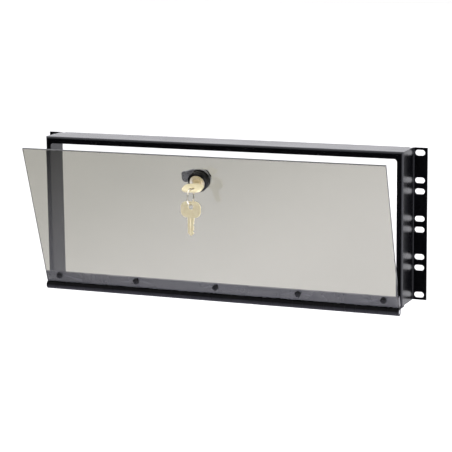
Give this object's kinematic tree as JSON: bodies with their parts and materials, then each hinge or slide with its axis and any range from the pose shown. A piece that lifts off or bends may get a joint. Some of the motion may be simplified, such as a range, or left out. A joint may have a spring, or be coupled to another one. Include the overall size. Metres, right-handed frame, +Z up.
{
  "type": "hinged rack security cover",
  "caption": "Black folded-steel rack frame with slotted ears and a smoked clear panel that hinges down on a piano hinge and closes with a cam lock, keys in it.",
  "frame": {"origin": "middle of the rack bolt pattern, on the rear face of the two ears", "axes": "+X to the right along the cover's width, +Y into the rack, +Z up"},
  "size_m": [0.4826, 0.1322, 0.1865],
  "materials": {
    "frame_paint": "satin black powder coat on steel sheet",
    "hinge_paint": "satin black paint on rolled steel strip",
    "hinge_pin_steel": "drawn steel wire",
    "rivet_steel": "plain steel rivet",
    "smoked_acrylic": "smoked clear acrylic sheet, polished",
    "screw_black": "black oxide",
    "nut_zinc": "bright zinc plating",
    "lock_black": "black coated zinc die casting",
    "lock_zinc": "zinc plated steel",
    "plug_nickel": "bright nickel plating",
    "wafer_brass": "stamped brass",
    "cam_zinc": "zinc plated steel",
    "key_brass": "pale nickel brass",
    "ring_steel": "nickel plated spring wire"
  },
  "bodies": {
    "frame": {"frame": "frame_paint", "hinge_fixed_leaf": "hinge_paint", "hinge_pin": "hinge_pin_steel", "hinge_rivets": "rivet_steel"},
    "cover": {"panel": "smoked_acrylic", "hinge_moving_leaf": "hinge_paint", "panel_screws": "screw_black", "panel_nuts": "nut_zinc", "lock_body": "lock_black", "lock_washer": "lock_zinc", "lock_nut": "lock_zinc"},
    "plug": {"lock_plug": "plug_nickel", "lock_wafers": "wafer_brass", "stop_washer": "cam_zinc", "lock_cam": "cam_zinc", "cam_washer": "cam_zinc", "cam_screw": "cam_zinc", "lock_key": "key_brass"},
    "ring": {"key_ring": "ring_steel"},
    "spare": {"spare_key": "key_brass"}
  },
  "joints": [
    {"name": "panel_hinge", "type": "hinge", "parent": "frame", "child": "cover", "pos_m": [0, -0.04915, -0.09325], "axis": [1, 0, 0], "range_deg": [-17.5, 162.5]},
    {"name": "lock_turn", "type": "hinge", "parent": "cover", "child": "plug", "pos_m": [0, -0.09606, 0.05369], "axis": [0, 0.9537, 0.3007], "range_deg": [0, 90]},
    {"name": "ring_swing", "type": "hinge", "parent": "plug", "child": "ring", "pos_m": [0, -0.1222, 0.03835], "axis": [1, 0, 0], "range_deg": [-60, 55]},
    {"name": "spare_key_swing", "type": "hinge", "parent": "ring", "child": "spare", "pos_m": [0, -0.1222, 0.027], "axis": [0, 1, 0], "range_deg": [-40, 40]}
  ]
}
